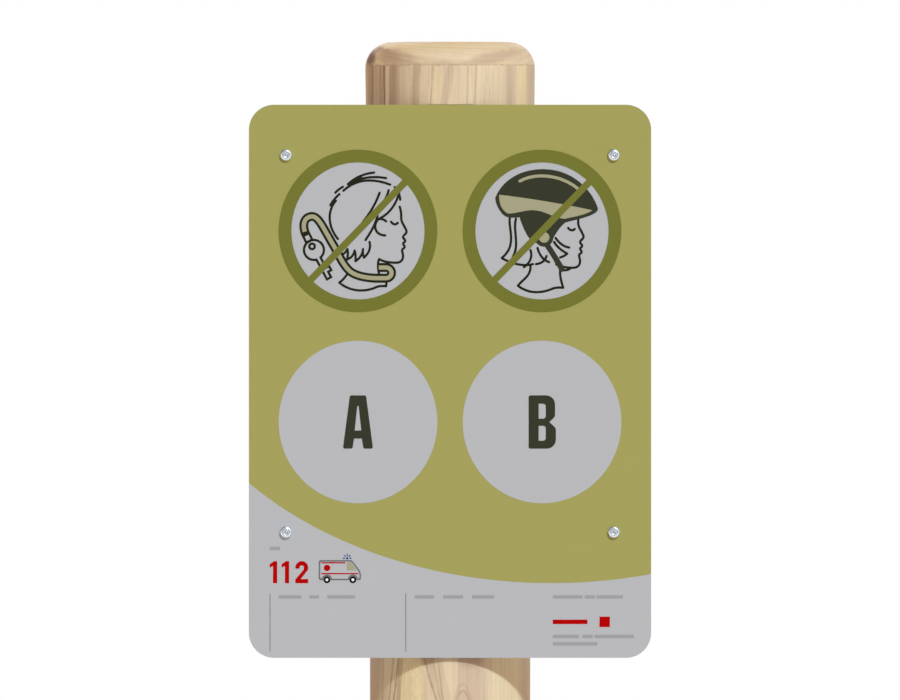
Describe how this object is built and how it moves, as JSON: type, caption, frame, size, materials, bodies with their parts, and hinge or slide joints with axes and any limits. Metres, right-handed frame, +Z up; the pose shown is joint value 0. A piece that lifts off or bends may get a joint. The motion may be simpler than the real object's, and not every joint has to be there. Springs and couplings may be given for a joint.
{
  "type": "playground sign",
  "caption": "Printed panel with rounded corners on a round timber post, held by round-headed bolts on rails let into the post.",
  "frame": {"origin": "on the post's axis at ground level, at the lower edge of the level groove", "axes": "+Z up along the post, the panel faces -Y, +X to the right of someone who reads the panel"},
  "size_m": [0.4, 0.1733, 2],
  "materials": {
    "wood": "peeled and sanded round timber with brown grain, oiled",
    "galvanised": "hot-dip galvanised, dull",
    "sheet": "coated sheet, satin",
    "core": "sawn polyethylene edge",
    "olive_film": "printed film, matt",
    "grey_film": "printed film, matt",
    "ring_film": "printed film, matt",
    "dark_film": "printed film, matt",
    "outline_film": "printed film, matt",
    "tan_film": "printed film, matt",
    "red_film": "printed film, matt",
    "line_film": "printed film, matt",
    "pale_film": "printed film, matt",
    "black_film": "printed film, matt",
    "white_film": "printed film, matt",
    "blue_film": "printed film, matt",
    "bolt_steel": "stainless, bright",
    "zinc": "zinc plated"
  },
  "bodies": {
    "root": {"post": "wood", "rail_upper": "galvanised", "rail_lower": "galvanised", "bolt_upper_left": "bolt_steel", "washer_upper_left": "zinc", "cap_nut_upper_left": "bolt_steel", "rail_screw_upper_left": "zinc", "bolt_upper_right": "bolt_steel", "washer_upper_right": "zinc", "cap_nut_upper_right": "bolt_steel", "rail_screw_upper_right": "zinc", "bolt_lower_left": "bolt_steel", "washer_lower_left": "zinc", "cap_nut_lower_left": "bolt_steel", "rail_screw_lower_left": "zinc", "bolt_lower_right": "bolt_steel", "washer_lower_right": "zinc", "cap_nut_lower_right": "bolt_steel", "rail_screw_lower_right": "zinc", "panel_back_sheet": "sheet", "panel_core": "core", "panel_front_sheet": "sheet", "print_field": "olive_film", "print_info": "grey_film", "print_disc_keys": "grey_film", "print_disc_helmet": "grey_film", "print_disc_a": "grey_film", "print_disc_b": "grey_film", "print_ring_keys": "ring_film", "print_ring_helmet": "ring_film", "print_letter_a": "dark_film", "print_letter_b": "dark_film", "print_head_keys": "outline_film", "print_cord_line": "outline_film", "print_cord_fill": "tan_film", "print_key_line": "outline_film", "print_head_helmet": "outline_film", "print_helmet_dark": "dark_film", "print_helmet_light": "tan_film", "print_number": "red_film", "print_van_line": "line_film", "print_van_wheels": "black_film", "print_van_hubs": "white_film", "print_van_window": "tan_film", "print_van_marks": "red_film", "print_van_lamp": "blue_film", "print_rules": "line_film", "print_bars": "pale_film", "print_red_bars": "red_film"}
  },
  "joints": []
}
